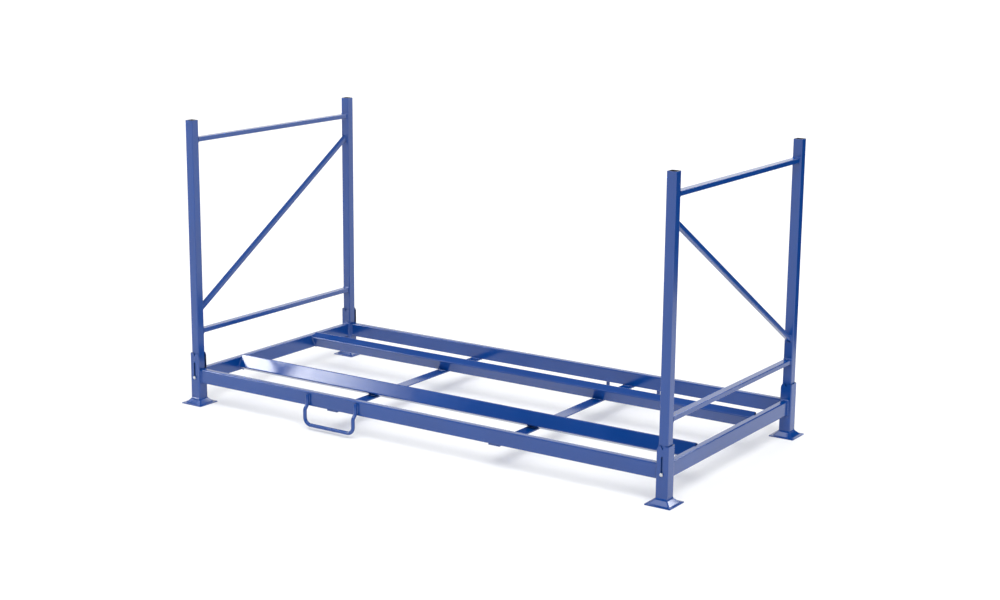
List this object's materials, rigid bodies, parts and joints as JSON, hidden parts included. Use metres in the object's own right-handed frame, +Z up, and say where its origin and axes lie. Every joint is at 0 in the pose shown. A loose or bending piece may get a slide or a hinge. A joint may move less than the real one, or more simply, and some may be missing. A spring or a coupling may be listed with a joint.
{
  "type": "tyre storage rack",
  "caption": "Folding, stackable steel rack: a low base frame with tilted beams that cradle standing truck tyres between two fold-in end frames.",
  "frame": {"origin": "on the floor under the middle of the rack", "axes": "+X along the rack from left to right, +Y from the front long rail to the back one, +Z up"},
  "size_m": [2.41, 1.155, 1.234],
  "materials": {
    "coat": "glossy powder coat",
    "zinc": "bright zinc plate"
  },
  "bodies": {
    "base": {"sleeve_fl": "coat", "foot_fl": "coat", "stack_stop_fl": "coat", "sleeve_fr": "coat", "foot_fr": "coat", "stack_stop_fr": "coat", "sleeve_bl": "coat", "foot_bl": "coat", "stack_stop_bl": "coat", "sleeve_br": "coat", "foot_br": "coat", "stack_stop_br": "coat", "long_rail_front": "coat", "long_rail_back": "coat", "end_rail_left": "coat", "end_rail_right": "coat", "cross_strip_left": "coat", "cross_strip_right": "coat", "tyre_beam_front": "coat", "tyre_beam_back": "coat", "fork_loop_front": "coat", "fork_loop_back": "coat"},
    "left_pivots": {"pivot_bolt_fl": "zinc", "pivot_nut_fl": "zinc", "pivot_bolt_bl": "zinc", "pivot_nut_bl": "zinc"},
    "right_pivots": {"pivot_bolt_fr": "zinc", "pivot_nut_fr": "zinc", "pivot_bolt_br": "zinc", "pivot_nut_br": "zinc"},
    "left_frame": {"post_fl": "coat", "post_bl": "coat", "top_bar_left": "coat", "low_bar_left": "coat", "diagonal_left": "coat"},
    "right_frame": {"post_fr": "coat", "post_br": "coat", "top_bar_right": "coat", "low_bar_right": "coat", "diagonal_right": "coat"}
  },
  "joints": [
    {"name": "left_lift", "type": "slide", "parent": "base", "child": "left_pivots", "axis": [0, 0, 1], "range_m": [0, 0.0605]},
    {"name": "left_fold", "type": "hinge", "parent": "left_pivots", "child": "left_frame", "pos_m": [-1.15, 0, 0.118], "axis": [0, 1, 0], "range_deg": [0, 90]},
    {"name": "right_lift", "type": "slide", "parent": "base", "child": "right_pivots", "axis": [0, 0, 1], "range_m": [0, 0.0605]},
    {"name": "right_fold", "type": "hinge", "parent": "right_pivots", "child": "right_frame", "pos_m": [1.15, 0, 0.118], "axis": [0, -1, 0], "range_deg": [0, 90]}
  ],
  "couplings": [
    {"joint": "left_lift", "follows": "left_fold", "m_per_rad": 0.038515},
    {"joint": "right_lift", "follows": "right_fold", "m_per_rad": 0.038515}
  ]
}
